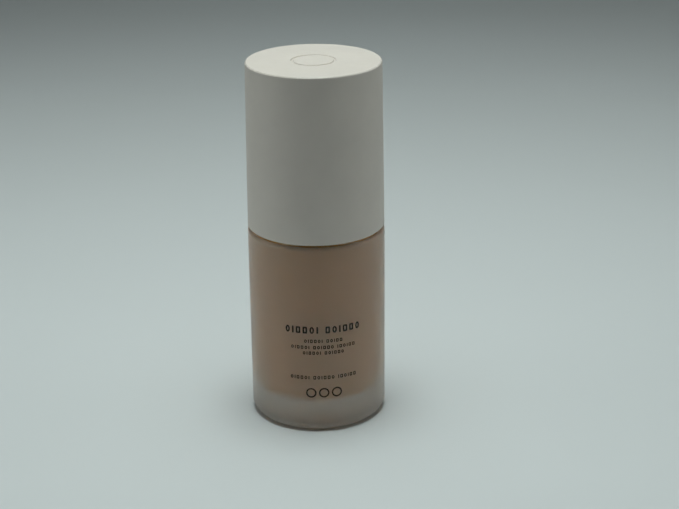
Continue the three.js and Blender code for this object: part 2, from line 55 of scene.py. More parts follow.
MM = 0.001
FINE = 144  # sides of the large turned pieces
SMALL = 72  # sides of the pump's turned pieces

INK = 0.03  # thickness of the print on the glass
GLASS_WALL = 3.1
GLASS_BASE = 7.4
GLASS_SHOULDER = 1.3
SHOULDER_ROUNDING = 1.3
HEEL_RADIUS = 2.6
FROSTING_EDGE = 0.2  # the frosting stops this far below the shoulder
CAVITY_TOP_CORNER = 1.2
CAVITY_FOOT_CORNER = 4
PITCH = 25.4 / 8
NECK_RADIUS = 7.85
NECK_BORE = 5.3
NECK_HEIGHT = 15.6
NECK_THREAD_TURNS = 1.75
NECK_THREAD_DROP = 1.85  # from the rim to the top of the thread
CLOSURE_THREAD_TURNS = 1.25
TURNS_TO_RELEASE = 1.5
THREAD_STEP = 0.14  # height of the steps that a thread is drawn in
PUMP_BORE = 3.6
BARREL_RADIUS = 4.7  # the wide part of the pump's cylinder
BARREL_FOOT_Z = 47
SOCKET_RADIUS = 2.6  # the narrow part, which holds the dip tube
SOCKET_TOP_Z = 43.6
STEM_RADIUS = 2.2
STEM_BORE = 1.15
STEM_NOSE = 1.6  # the stem's radius below its stop ring
DIP_TUBE_BORE = 1.05


def extent(node):
    """A CAD node's outer radius, foot and top in millimetres."""
    low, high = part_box(node)
    return high.x / MM, low.z / MM, high.z / MM


BODY_RADIUS = extent("glass_bottle")[0]
NECK_TOP = extent("glass_bottle")[2]
SHOULDER_Z = NECK_TOP - NECK_HEIGHT
NECK_THREAD_FOOT = NECK_TOP - NECK_THREAD_DROP - PITCH * NECK_THREAD_TURNS
CAVITY_RADIUS = BODY_RADIUS - GLASS_WALL
CAVITY_TOP = SHOULDER_Z - GLASS_SHOULDER


# ---------- mesh tools ----------


def rounded(corners, usual=0.12, closed=False, steps=4):
    """Points of an outline in radius and height, as complex numbers, with an arc at each corner.

    A corner is (radius, height) or (radius, height, radius of its arc)."""
    points = []
    for i, (radius, height, *arc) in enumerate(corners):
        here = complex(radius, height)
        at_end = not closed and i in (0, len(corners) - 1)
        size = arc[0] if arc else usual
        if at_end or not size:
            points.append(here)
            continue
        before = complex(*corners[i - 1][:2]) - here
        after = complex(*corners[(i + 1) % len(corners)][:2]) - here
        half = abs(cmath.phase(before / after)) / 2
        nearly_straight = half > math.radians(89)
        if nearly_straight:
            points.append(here)
            continue
        reach = min(size / math.tan(half), 0.48 * abs(before), 0.48 * abs(after))  # arcs never meet
        start = here + reach * before / abs(before)
        end = here + reach * after / abs(after)
        middle = (before / abs(before) + after / abs(after)) / 2
        centre = here + middle / abs(middle) * reach / math.cos(half)
        sweep = cmath.phase((end - centre) / (start - centre))
        for k in range(steps + 1):
            points.append(centre + (start - centre) * cmath.exp(1j * sweep * k / steps))
    return points


def divided(points, low, high, step):
    """The outline with its upright stretches between two heights cut into short steps."""
    result = [points[0]]
    for here, there in zip(points, points[1:]):
        middle = (here.imag + there.imag) / 2
        if low < middle < high and abs(there.real - here.real) < 0.01:
            count = max(1, math.ceil(abs(there - here) / step))
            result += [here + (there - here) * k / count for k in range(1, count)]
        result.append(there)
    return result


def new_object(name, bm):
    """A piece from mesh code, with smooth faces."""
    bmesh.ops.recalc_face_normals(bm, faces=bm.faces)
    for face in bm.faces:
        face.smooth = True
    mesh = bpy.data.meshes.new(name)
    bm.to_mesh(mesh)
    bm.free()
    piece = bpy.data.objects.new(name, mesh)
    bpy.context.scene.collection.objects.link(piece)
    return piece


def turned(name, points, sides, closed=False, relief=None, place=None):
    """A turned piece about Z. relief(radius, height, angle) gives what is added to a point's radius."""
    bm = bmesh.new()
    rings = []
    for point in points:
        radius, height = point.real, point.imag
        if radius < 1e-6:
            rings.append([bm.verts.new((0, 0, height * MM))])
            continue
        ring = []
        for i in range(sides):
            angle = math.tau * i / sides
            out = (radius + (relief(radius, height, angle) if relief else 0)) * MM
            ring.append(bm.verts.new((out * math.cos(angle), out * math.sin(angle), height * MM)))
        rings.append(ring)
    last = rings[:1] if closed else []
    for low, high in zip(rings, rings[1:] + last):
        for i in range(sides):
            j = (i + 1) % sides
            corners = (low[i % len(low)], low[j % len(low)], high[j % len(high)], high[i % len(high)])
            distinct = list(dict.fromkeys(corners))
            if len(distinct) > 2:
                bm.faces.new(distinct)
    if place:
        bm.transform(place)
    return new_object(name, bm)


def swept(bm, stations, closed=False):
    """A closed band through stations, each a list of points round its section, in metres."""
    loops = [[bm.verts.new(point) for point in station] for station in stations]
    last = loops[:1] if closed else []
    for low, high in zip(loops, loops[1:] + last):
        for i in range(len(low)):
            j = (i + 1) % len(low)
            bm.faces.new((low[i], low[j], high[j], high[i]))
    if not closed:
        bm.faces.new(loops[0])
        bm.faces.new(reversed(loops[-1]))


def rod(radius, start, end, sides=32):
    """A plain rod between two points, in millimetres, to cut or join with. It isn't a piece by itself."""
    start, end = Vector(start) * MM, Vector(end) * MM
    turn = (end - start).to_track_quat("Z", "Y").to_matrix()
    bm = bmesh.new()
    section = [
        turn @ Vector((math.cos(math.tau * i / sides), math.sin(math.tau * i / sides), 0)) * radius * MM
        for i in range(sides)
    ]
    swept(bm, [[place + offset for offset in section] for place in (start, end)])
    return new_object("tool", bm)


def block(size, centre, turn=0.0):
    """A block turned about Z by an angle, in millimetres, to cut or join with."""
    bm = bmesh.new()
    bmesh.ops.create_cube(bm, size=1)
    bm.transform(Matrix.Diagonal(Vector((*size, 1))))
    rounding = 0.1
    bmesh.ops.bevel(bm, geom=bm.edges, offset=rounding, segments=2, profile=0.5, affect="EDGES")
    bm.transform(Matrix.Rotation(turn, 4, "Z") @ Matrix.Translation(centre))
    bm.transform(Matrix.Scale(MM, 4))
    return new_object("tool", bm)


def carved(piece, tools, operation="DIFFERENCE"):
    """Cuts the tools out of a piece, or joins them to it, and removes the tools."""
    for tool in tools:
        change = piece.modifiers.new("carve", "BOOLEAN")
        change.operation = operation
        change.solver = "EXACT"
        change.object = tool
    view = bpy.context.evaluated_depsgraph_get()
    mesh = bpy.data.meshes.new_from_object(piece.evaluated_get(view))
    piece.modifiers.clear()
    old = piece.data
    piece.data = mesh
    bpy.data.meshes.remove(old)
    for tool in tools:
        bpy.data.objects.remove(tool)


def thread_relief(bore, foot, turns, start, height, width):
    """The relief of a right-hand thread on the points at radius bore, fading out at both ends.

    start is the angle where its foot begins. A negative height makes an inside thread."""
    fade_turns = 0.12

    def relief(radius, z, angle):
        """What the thread adds to the radius here: its full height at the crest, less beside it."""
        on_wall = abs(radius - bore) < 0.05
        if not on_wall:
            return 0
        share = (angle - start) / math.tau
        rounds = round((z - foot) / PITCH - share)
        along = min(max(share + rounds, 0), turns)
        away = abs(z - (foot + PITCH * (share + rounds))) / width
        inside = 0 < share + rounds < turns
        fade = min(along, turns - along, fade_turns) / fade_turns if inside else 0
        crest = min(max(1.5 - 1.5 * away, 0), 1)
        return height * fade * crest * crest * (3 - 2 * crest)

    return relief


def finish_piece(piece, body, nodes, materials):
    """Gives a piece its materials, its body, the CAD nodes it stands for, and flats that look flat."""
    for each in materials:
        piece.data.materials.append(each)
    fair = piece.modifiers.new("even_normals", "WEIGHTED_NORMAL")
    fair.weight = 50
    fair.keep_sharp = True
    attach(piece, body)
    if nodes:
        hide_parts(*nodes)


# ---------- materials ----------

NOISE_LOW, NOISE_HIGH = 0.3, 0.7  # most of a noise's values lie between these


def principled(name, **sockets):
    """A new material and its shader, with constants set on the shader's own sockets."""
    mat = bpy.data.materials.new(name)
    mat.use_nodes = True
    shader = mat.node_tree.nodes["Principled BSDF"]
    for socket, value in sockets.items():
        shader.inputs[socket.replace("_", " ")].default_value = value
    return mat, shader


def noise(mat, grain, detail=3.0, stretch=(1, 1, 1)):
    """Noise in the object's own space. grain is the size of its features in millimetres."""
    tree = mat.node_tree
    place = tree.nodes.new("ShaderNodeTexCoord")
    scale = tree.nodes.new("ShaderNodeMapping")
    scale.inputs["Scale"].default_value = stretch
    cloud = tree.nodes.new("ShaderNodeTexNoise")
    cloud.inputs["Scale"].default_value = 1 / (grain * MM)
    cloud.inputs["Detail"].default_value = detail
    tree.links.new(place.outputs["Object"], scale.inputs["Vector"])
    tree.links.new(scale.outputs["Vector"], cloud.inputs["Vector"])
    return cloud.outputs["Fac"]


def vary_colour(mat, shader, value, dark, light):
    """The base colour runs from dark to light with a noise value."""
    ramp = mat.node_tree.nodes.new("ShaderNodeValToRGB")
    ramp.color_ramp.elements[0].position = NOISE_LOW
    ramp.color_ramp.elements[1].position = NOISE_HIGH
    ramp.color_ramp.elements[0].color = (*dark, 1)
    ramp.color_ramp.elements[1].color = (*light, 1)
    mat.node_tree.links.new(value, ramp.inputs["Fac"])
    mat.node_tree.links.new(ramp.outputs["Color"], shader.inputs["Base Color"])


def vary_roughness(mat, shader, value, low, high):
    """The roughness runs from low to high with a noise value."""
    spread = mat.node_tree.nodes.new("ShaderNodeMapRange")
    spread.inputs["From Min"].default_value = NOISE_LOW
    spread.inputs["From Max"].default_value = NOISE_HIGH
    spread.inputs["To Min"].default_value = low
    spread.inputs["To Max"].default_value = high
    mat.node_tree.links.new(value, spread.inputs["Value"])
    mat.node_tree.links.new(spread.outputs["Result"], shader.inputs["Roughness"])


def roughen(mat, shader, value, height):
    """A bump of a height in millimetres from a noise value."""
    bump = mat.node_tree.nodes.new("ShaderNodeBump")
    bump.inputs["Strength"].default_value = 0.6
    bump.inputs["Distance"].default_value = height * MM
    mat.node_tree.links.new(value, bump.inputs["Height"])
    mat.node_tree.links.new(bump.outputs["Normal"], shader.inputs["Normal"])


def shade(colour, factor):
    """A colour made darker or lighter by a factor."""
    return tuple(channel * factor for channel in colour)


def moulded(name, colour, low, high, grain, depth, **sockets):
    """Moulded plastic: a colour that wanders a little, uneven roughness and a fine surface grain."""
    mat, shader = principled(name, **sockets)
    vary_colour(mat, shader, noise(mat, 9), shade(colour, 0.97), shade(colour, 1.02))
    vary_roughness(mat, shader, noise(mat, 1.5), low, high)
    roughen(mat, shader, noise(mat, grain, 4), depth)
    return mat


def frosted_glass():
    """Acid-etched glass: the outside scatters what passes through it, and looks powdery edge on."""
    mat, shader = principled(
        "frosted_glass", Transmission_Weight=0.85, IOR=1.5,
        Sheen_Weight=0.45, Sheen_Roughness=0.5, Sheen_Tint=(1.0, 0.96, 0.91, 1),
    )
    vary_colour(mat, shader, noise(mat, 12), (0.92, 0.855, 0.79), (0.97, 0.90, 0.83))
    vary_roughness(mat, shader, noise(mat, 0.8), 0.46, 0.54)
    roughen(mat, shader, noise(mat, 0.12, 4), 0.004)
    return mat


def clear_glass():
    """The cavity's wall, the top of the shoulder and the neck, which aren't frosted."""
    mat, shader = principled("clear_glass", Transmission_Weight=1.0, IOR=1.5)
    vary_colour(mat, shader, noise(mat, 12), (0.93, 0.96, 0.94), (0.96, 0.98, 0.96))
    vary_roughness(mat, shader, noise(mat, 2), 0.03, 0.08)
    roughen(mat, shader, noise(mat, 4, 2), 0.004)
    return mat


def liquid():
    """Pigmented foundation: an opaque cream with slow swirls in it."""
    mat, shader = principled(
        "foundation_cream", IOR=1.42,
        Subsurface_Weight=0.15, Subsurface_Scale=0.002, Subsurface_Radius=(1.0, 0.6, 0.4),
    )
    swirl = noise(mat, 7, 2, (1, 1, 0.4))
    vary_colour(mat, shader, swirl, (0.585, 0.285, 0.065), (0.625, 0.31, 0.08))
    vary_roughness(mat, shader, noise(mat, 3), 0.22, 0.34)
    roughen(mat, shader, noise(mat, 2.5, 2), 0.02)
    return mat


def ink():
    """Screen-printed black, a little uneven in cover."""
    mat, shader = principled("print_ink")
    vary_colour(mat, shader, noise(mat, 0.25, 4), (0.004, 0.004, 0.004), (0.014, 0.013, 0.013))
    vary_roughness(mat, shader, noise(mat, 0.4), 0.45, 0.65)
    roughen(mat, shader, noise(mat, 0.1), 0.003)
    return mat


def drawn_steel():
    """Stainless spring wire and ball, with fine drawing lines."""
    mat, shader = principled("stainless", Metallic=1.0)
    lines = noise(mat, 0.3, 4, (1, 1, 6))
    vary_colour(mat, shader, lines, (0.52, 0.52, 0.53), (0.64, 0.64, 0.65))
    vary_roughness(mat, shader, lines, 0.18, 0.32)
    roughen(mat, shader, lines, 0.004)
    return mat


CAP_WHITE = (0.74, 0.666, 0.60)
FROSTED = frosted_glass()
CLEAR = clear_glass()
CREAM = liquid()
PRINT = ink()
STEEL = drawn_steel()
CAP_MATTE = moulded("cap_matte", CAP_WHITE, 0.44, 0.56, 0.16, 0.006)
CAP_EDGE = moulded("cap_edge", CAP_WHITE, 0.22, 0.30, 0.5, 0.003)  # worn smoother than the rest
BUTTON_MATTE = moulded("button_matte", CAP_WHITE, 0.38, 0.50, 0.14, 0.005)
LINER_SATIN = moulded("liner_satin", (0.84, 0.845, 0.81), 0.28, 0.38, 0.5, 0.004)
NATURAL = moulded(
    "natural_polypropylene", (0.83, 0.85, 0.83), 0.30, 0.42, 0.6, 0.005,
    Transmission_Weight=0.45, IOR=1.49,
)
WAXY = moulded("waxy_polyethylene", (0.86, 0.87, 0.85), 0.36, 0.48, 0.4, 0.004, Subsurface_Weight=0.2)
FOAM = moulded("soft_gasket", (0.86, 0.86, 0.83), 0.60, 0.75, 0.2, 0.03)


# ---------- glass and contents ----------


def bottle_glass():
    """The glass: a heavy base with a shallow punt, square shoulder, threaded neck and rounded cavity."""
    outside = BODY_RADIUS - INK
    punt = 0.8
    standing_ring = 11.5
    bead = 8.5
    bead_low, bead_high = 56.8, 57.8
    slope = 0.4
    corners = [
        (0, punt), (4, punt - 0.08, 6), (standing_ring, 0, 1.5), (outside, 0, HEEL_RADIUS),
        (outside, SHOULDER_Z, SHOULDER_ROUNDING), (NECK_RADIUS, SHOULDER_Z, 0.8),
        (NECK_RADIUS, bead_low - slope, 0.2), (bead, bead_low), (bead, bead_high),
        (NECK_RADIUS, bead_high + slope, 0.2), (NECK_RADIUS, NECK_TOP, 0.4), (NECK_BORE, NECK_TOP, 0.35),
        (NECK_BORE, CAVITY_TOP, 1.2), (CAVITY_RADIUS, CAVITY_TOP, CAVITY_TOP_CORNER),
        (CAVITY_RADIUS, GLASS_BASE, CAVITY_FOOT_CORNER), (0, GLASS_BASE),
    ]
    points = divided(rounded(corners, steps=8), bead_high + 1.5 * slope, NECK_TOP - 0.5, THREAD_STEP)
    relief = thread_relief(
        NECK_RADIUS, NECK_THREAD_FOOT, NECK_THREAD_TURNS, start=0, height=0.95, width=1.0
    )
    piece = turned("bottle_glass", points, FINE, relief=relief)
    finish_piece(piece, "bottle", ["glass_bottle"], [FROSTED, CLEAR])
    for face in piece.data.polygons:
        x, y, z = (along / MM for along in face.center)
        in_cavity = math.hypot(x, y) < CAVITY_RADIUS + 0.2 and z > GLASS_BASE - 0.2
        clear = in_cavity or z > SHOULDER_Z - FROSTING_EDGE
        face.material_index = 1 if clear else 0


def foundation_fill():
    """The liquid, up to the shoulder, with a well for the pump and its dip tube."""
    wet = 0.02  # it reaches into the glass by this, so no air shows between them
    gap = 0.3  # between the well and the pump
    radius = CAVITY_RADIUS + wet
    low = GLASS_BASE - wet
    top = extent("foundation_liquid")[2]
    socket_low = extent("pump_housing")[1] - gap
    tube_radius, tube_low, _ = extent("dip_tube")
    barrel = BARREL_RADIUS + gap
    socket = SOCKET_RADIUS + gap
    tube = tube_radius + gap
    corners = [
        (0, low), (radius, low, CAVITY_FOOT_CORNER), (radius, top, CAVITY_TOP_CORNER), (barrel, top),
        (barrel, BARREL_FOOT_Z - gap), (socket, SOCKET_TOP_Z - gap), (socket, socket_low),
        (tube, socket_low), (tube, tube_low - gap), (0, tube_low - gap),
    ]
    piece = turned("foundation_fill", rounded(corners, 0.15, steps=8), FINE)
    finish_piece(piece, "bottle", ["foundation_liquid"], [CREAM])


def printed_marks():
    """Plain boxes, bars and rings where the bottle is printed. They spell nothing."""
    bm = bmesh.new()
    low, high = (BODY_RADIUS - 1.5 * INK) * MM, BODY_RADIUS * MM  # its back is in the glass
    middle = math.radians(4.3)  # the print sits a little to the right of the front

    def on_glass(radius, across, height):
        """A point of the print, measured across and up along the curved glass."""
        angle = middle + across * MM / high
        return Vector((radius * math.sin(angle), -radius * math.cos(angle), height * MM))

    def loop(across, height, half_width, half_height, stroke, squareness=1.0, sides=40):
        """An outlined oval, or a rounded box where squareness is under 1."""

        def rim(angle, inset):
            """Where the outline is at an angle, moved in by an inset."""
            wide = math.copysign(abs(math.cos(angle)) ** squareness, math.cos(angle))
            tall = math.copysign(abs(math.sin(angle)) ** squareness, math.sin(angle))
            return across + (half_width - inset) * wide, height + (half_height - inset) * tall

        stations = []
        for k in range(sides):
            angle = math.tau * (k + 0.5) / sides
            sections = ((low, stroke), (high, stroke), (high, 0), (low, 0))
            stations.append([on_glass(r, *rim(angle, inset)) for r, inset in sections])
        swept(bm, stations, closed=True)

    def row(width, height, tall, marks, stroke):
        """Rings, boxes and bars in groups of six, centred on the print's middle line."""
        gap = 1.3 * stroke
        group = 6
        wide_gap = 3.2 * gap
        kinds = ("ring", "bar", "box", "box", "ring", "bar", "box")
        chosen = [kinds[k % len(kinds)] for k in range(marks)]
        gaps = [wide_gap if k % group == group - 1 else gap for k in range(marks - 1)] + [0]
        bars = chosen.count("bar") * stroke
        open_width = (width - sum(gaps) - bars) / (marks - chosen.count("bar"))
        left = -width / 2
        for kind, space in zip(chosen, gaps):
            half = (stroke if kind == "bar" else open_width) / 2
            squareness = 1.0 if kind == "ring" else 0.3
            loop(left + half, height, half, tall / 2, min(stroke, 0.98 * half), squareness)
            left += 2 * half + space

    row(width=20.4, height=29.75, tall=1.95, marks=12, stroke=0.46)
    row(width=10.2, height=26.6, tall=0.95, marks=11, stroke=0.24)
    row(width=17.4, height=24.8, tall=0.95, marks=18, stroke=0.24)
    row(width=11.0, height=23.2, tall=0.95, marks=12, stroke=0.24)
    row(width=18.0, height=16.05, tall=1.0, marks=18, stroke=0.25)
    ring_pitch = 3.45
    ring_height = 11.6
    ring_radius = 1.4
    for place in (-1, 0, 1):
        loop(ring_pitch * place, ring_height, ring_radius, ring_radius, stroke=0.38)
    piece = new_object("printed_marks", bm)
    finish_piece(piece, "bottle", [], [PRINT])


# ---------- overcap ----------


def cap_shell():
    """The outer cap: slight draft, flat top with a plain sunk ring, and a thin open skirt."""
    radius, low, top = extent("overcap_shell")
    top_radius = 17.7
    wall = 1.7
    roof = 1.8
    edge = 0.5
    ring_in, ring_out, ring_depth = 5.2, 5.8, 0.25
    corners = [
        (0, top), (ring_in, top, 0.1), (ring_in, top - ring_depth, 0.1), (ring_out, top - ring_depth, 0.1),
        (ring_out, top, 0.1), (top_radius, top, edge), (radius, low, 0.22), (radius - wall, low, 0.2),
        (top_radius - wall + 0.1, top - roof, 0.8), (0, top - roof),
    ]
    piece = turned("cap_shell", rounded(corners, steps=6), FINE)
    finish_piece(piece, "overcap", ["overcap_shell"], [CAP_MATTE, CAP_EDGE])
    for face in piece.data.polygons:
        on_rim = face.center.z > (top - edge) * MM and 0.15 < face.normal.z < 0.98
        face.material_index = 1 if on_rim else 0


def cap_liner():
    """The inner cup that grips the collar, with spacing ribs outside and a snap bead at its mouth."""
    flange, low, top = extent("overcap_liner")
    inside = 13.3
    wall = 1.2
    outside = inside + wall
    bead = 0.15
    bead_foot = low + 1.6
    slope = 0.4
    corners = [
        (0, top), (outside, top, 0.6), (outside, low + 1, 0.3), (flange, low + 1), (flange, low),
        (inside, low, 0.35), (inside, bead_foot, 0.5), (inside - bead, bead_foot + slope, 0.4),
        (inside - bead, bead_foot + 2 * slope, 0.4), (inside, bead_foot + 3 * slope, 0.5),
        (inside, top - wall, 0.8), (0, top - wall),
    ]
    piece = turned("cap_liner", rounded(corners), FINE)
    ribs = 8
    height = 10
    reach = 15.85
    root = outside - 0.4  # the ribs start inside the wall
    depth = reach - root
    centre = ((reach + root) / 2, 0, top - height / 2 - 0.3)
    tools = [block((depth, 0.9, height), centre, math.tau * (i + 0.5) / ribs) for i in range(ribs)]
    carved(piece, tools, "UNION")
    finish_piece(piece, "overcap", ["overcap_liner"], [LINER_SATIN])


# ---------- collar and closure ----------


def collar():
    """The smooth sleeve over the closure, with gripping ribs inside."""
    flange, low, top = extent("collar_sleeve")
    radius = 13
    inside = radius - 1.3
    hole = 5.6
    plate = top - 1.1
    flange_top = low + 1.4
    corners = [
        (inside, low), (flange, low, 0.3), (flange, flange_top, 0.3), (radius, flange_top, 0.5),
        (radius, top, 0.8), (hole, top, 0.4), (hole, plate), (inside, plate, 0.5),
    ]
    piece = turned("collar", rounded(corners, closed=True, steps=6), FINE, closed=True)
    ribs = 12
    height = 14
    root = inside + 0.4  # the ribs start inside the wall
    reach = extent("screw_closure")[0] + 0.2
    centre = ((root + reach) / 2, 0, plate - height / 2 - 1)
    tools = [block((root - reach, 0.8, height), centre, math.tau * i / ribs) for i in range(ribs)]
    carved(piece, tools, "UNION")
    finish_piece(piece, "closure", ["collar_sleeve"], [BUTTON_MATTE])


def closure():
    """The threaded closure under the collar."""
    radius, low, top = extent("screw_closure")
    inside = 9.1
    hole = 4.6
    plate = top - 1.2
    corners = [
        (inside, low, 0.3), (radius, low, 0.3), (radius, top, 0.4), (hole, top), (hole, plate),
        (inside, plate, 0.3),
    ]
    foot = NECK_TOP - NECK_THREAD_DROP - PITCH * (TURNS_TO_RELEASE + 0.5)
    points = rounded(corners, closed=True)
    thread_top = foot + PITCH * CLOSURE_THREAD_TURNS
    points = divided(points + points[:1], foot - 2, thread_top + 2, THREAD_STEP)[:-1]
    start = math.tau * (NECK_THREAD_TURNS - TURNS_TO_RELEASE)
    relief = thread_relief(inside, foot, CLOSURE_THREAD_TURNS, start, height=-0.68, width=0.95)
    piece = turned("closure_cap", points, FINE, closed=True, relief=relief)
    finish_piece(piece, "closure", ["screw_closure"], [LINER_SATIN])


# ---------- pump ----------


def gasket():
    """The flat foam ring on the glass rim."""
    radius, low, top = extent("neck_gasket")
    hole = 5.1
    corners = [(hole, low), (radius, low), (radius, top), (hole, top)]
    piece = turned("rim_gasket", rounded(corners, 0.2, closed=True), SMALL, closed=True)
    finish_piece(piece, "pump", ["neck_gasket"], [FOAM])


def housing():
    """The pump's cylinder, from its flange down to the dip tube's socket, with a vent hole."""
    flange, low, top = extent("pump_housing")
    flange_foot = top - 1
    tube = extent("dip_tube")[0] + 0.08
    tube_stop = 44.4
    inlet = 1
    chamber = 2
    chamber_foot = 46.2
    floor = 48.4
    cage = 1.45  # the hole in the floor, too narrow for the ball
    cage_foot = floor - 0.4
    corners = [
        (PUMP_BORE, top), (flange, top, 0.2), (flange, flange_foot, 0.2), (BARREL_RADIUS, flange_foot, 0.3),
        (BARREL_RADIUS, BARREL_FOOT_Z, 0.5), (SOCKET_RADIUS, SOCKET_TOP_Z, 0.5), (SOCKET_RADIUS, low),
        (tube, low), (tube, tube_stop), (inlet, tube_stop), (inlet, tube_stop + 0.6),
        (chamber, chamber_foot), (chamber, cage_foot), (cage, cage_foot), (cage, floor),
        (PUMP_BORE, floor, 0.3),
    ]
    piece = turned("pump_cylinder", rounded(corners, 0.08, closed=True), SMALL, closed=True)
    vent = NECK_TOP - 2
    vent_drill = rod(0.45, (BARREL_RADIUS - 2.1, 0, vent), (BARREL_RADIUS + 0.9, 0, vent))
    carved(piece, [vent_drill])
    finish_piece(piece, "pump", ["pump_housing"], [NATURAL])


def retainer():
    """The chaplet that snaps into the housing and guides the stem."""
    flange, low, top = extent("stem_retainer")
    plate = extent("pump_housing")[2] + 0.05
    bore = STEM_RADIUS + 0.12
    plug = PUMP_BORE - 0.08
    guide = 4.2
    plate_top = plate + 0.8
    corners = [
        (bore, low), (plug, low, 0.2), (plug, plate, 0.1), (flange, plate), (flange, plate_top, 0.2),
        (guide, plate_top, 0.3), (guide, top, 0.3), (bore, top, 0.2),
    ]
    piece = turned("stem_guide", rounded(corners, closed=True), SMALL, closed=True)
    finish_piece(piece, "pump", ["stem_retainer"], [LINER_SATIN])


def dip_tube():
    """The suction tube with its slanted end."""
    radius, low, top = extent("dip_tube")
    corners = [(DIP_TUBE_BORE, low), (radius, low), (radius, top), (DIP_TUBE_BORE, top)]
    piece = turned("suction_tube", rounded(corners, 0.08, closed=True), SMALL, closed=True)
    knife = block((10, 6, 6), (0, 0, -3))
    knife.data.transform(Matrix.Rotation(-math.pi / 4, 4, "X"))
    knife.data.transform(Matrix.Translation(Vector((0, radius, low)) * MM))
    carved(piece, [knife])
    finish_piece(piece, "pump", ["dip_tube"], [NATURAL])


def spring():
    """The return spring: a helix of round wire with close end turns."""
    _, low, top = extent("return_spring")
    wire = 0.28
    coil = 2.35
    turns = 6.5
    closed_rise = 2.4 * wire
    length = top - low - 2 * wire
    steps = 64

    def rise(turn):
        """How far the wire has climbed after some turns. The first and last turn lie close."""
        if turn < 1:
            return closed_rise * turn
        if turn > turns - 1:
            return length - closed_rise * (turns - turn)
        return closed_rise + (turn - 1) / (turns - 2) * (length - 2 * closed_rise)

    section = [math.tau * i / 14 for i in range(14)]
    stations = []
    for k in range(int(turns * steps) + 1):
        angle = math.tau * k / steps
        out = Vector((math.cos(angle), math.sin(angle), 0))
        centre = (out * coil + Vector((0, 0, low + wire + rise(k / steps)))) * MM
        offsets = [out * math.cos(a) + Vector((0, 0, math.sin(a))) for a in section]
        stations.append([centre + offset * wire * MM for offset in offsets])
    bm = bmesh.new()
    swept(bm, stations)
    piece = new_object("coil_spring", bm)
    finish_piece(piece, "pump", ["return_spring"], [STEEL])
    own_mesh(piece)


def ball():
    """The inlet valve's ball, as a finely stepped arc turned about Z."""
    radius, low, _ = extent("inlet_ball")
    steps = 48
    centre = complex(0, low + radius)
    arc = [centre + radius * cmath.exp(1j * math.pi * (k / steps - 0.5)) for k in range(steps + 1)]
    arc[0] = complex(0, arc[0].imag)
    arc[-1] = complex(0, arc[-1].imag)
    piece = turned("valve_ball", arc, SMALL)
    finish_piece(piece, "inlet_ball", ["inlet_ball"], [STEEL])


def stem():
    """The hollow stem, with a stop ring and two ports in its nose."""
    stop, low, top = extent("pump_stem")
    stop_foot = 66.5
    stop_top = stop_foot + 0.8
    corners = [
        (STEM_BORE, low), (STEM_NOSE, low), (STEM_NOSE, stop_foot), (stop, stop_foot),
        (stop, stop_top, 0.2), (STEM_RADIUS, stop_top, 0.2), (STEM_RADIUS, top, 0.3),
        (STEM_BORE, top, 0.2),
    ]
    piece = turned("hollow_stem", rounded(corners, 0.08, closed=True), SMALL, closed=True)
    ports = low + 0.55
    carved(piece, [rod(0.4, (0, -2, ports), (0, 2, ports))])
    finish_piece(piece, "stem", ["pump_stem"], [LINER_SATIN])


def piston():
    """The piston, with a flared lip at each end."""
    lip, low, top = extent("piston")
    bore = STEM_NOSE + 0.1
    waist = 2.9
    foot = low + 0.4
    head = top - 0.3
    corners = [
        (bore, foot), (waist, foot), (lip, low), (lip, foot + 0.8), (waist, foot + 1.4, 0.3),
        (waist, foot + 2.8, 0.3), (lip, foot + 3.4), (lip, top), (waist, head), (bore, head),
    ]
    piece = turned("sliding_piston", rounded(corners, 0.07, closed=True), SMALL, closed=True)
    finish_piece(piece, "piston", ["piston"], [WAXY])


def rod_and_seal():
    """The piston rod: a sealing head that carries the spring, and crossed fins in the stem's bore."""
    radius, low, _ = extent("piston_rod")
    head = low + 1
    top = extent("pump_stem")[1] - 0.1
    corners = [
        (0, low), (1.7, low, 0.3), (1.9, head, 0.1), (radius, head), (radius, head + 0.8, 0.15),
        (2.1, top, 0.1), (0, top),
    ]
    piece = turned("rod_head", rounded(corners), SMALL)
    height = 3.2
    size = (2 * (STEM_BORE - 0.1), 0.6, height)
    centre = (0, 0, top + height / 2 - 0.2)
    carved(piece, [block(size, centre, turn) for turn in (math.pi / 4, -math.pi / 4)], "UNION")
    finish_piece(piece, "stem", ["piston_rod"], [LINER_SATIN])


# ---------- actuator ----------


def spout_height():
    """The height of the spout's own axis."""
    low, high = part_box("nozzle_insert")
    return (low.z + high.z) / 2 / MM


def button():
    """The outer button, with a shallow finger dish and a hole for the spout."""
    radius, low, top = extent("actuator_shell")
    wall = 1.1
    roof = 1.9
    dish = 0.7
    corners = [
        (0, top - dish), (3, top - dish + 0.04, 6), (radius - 0.6, top, 0.8), (radius, top - 0.3, 1),
        (radius, low, 0.2), (radius - wall, low, 0.2), (radius - wall, top - roof, 0.6), (0, top - roof),
    ]
    piece = turned("button_shell", rounded(corners, steps=8), FINE)
    height = spout_height()
    spout = extent("nozzle_insert")[0]
    carved(piece, [rod(spout + 0.15, (0, -5, height), (0, -10, height), 64)])
    finish_piece(piece, "actuator", ["actuator_shell"], [BUTTON_MATTE])


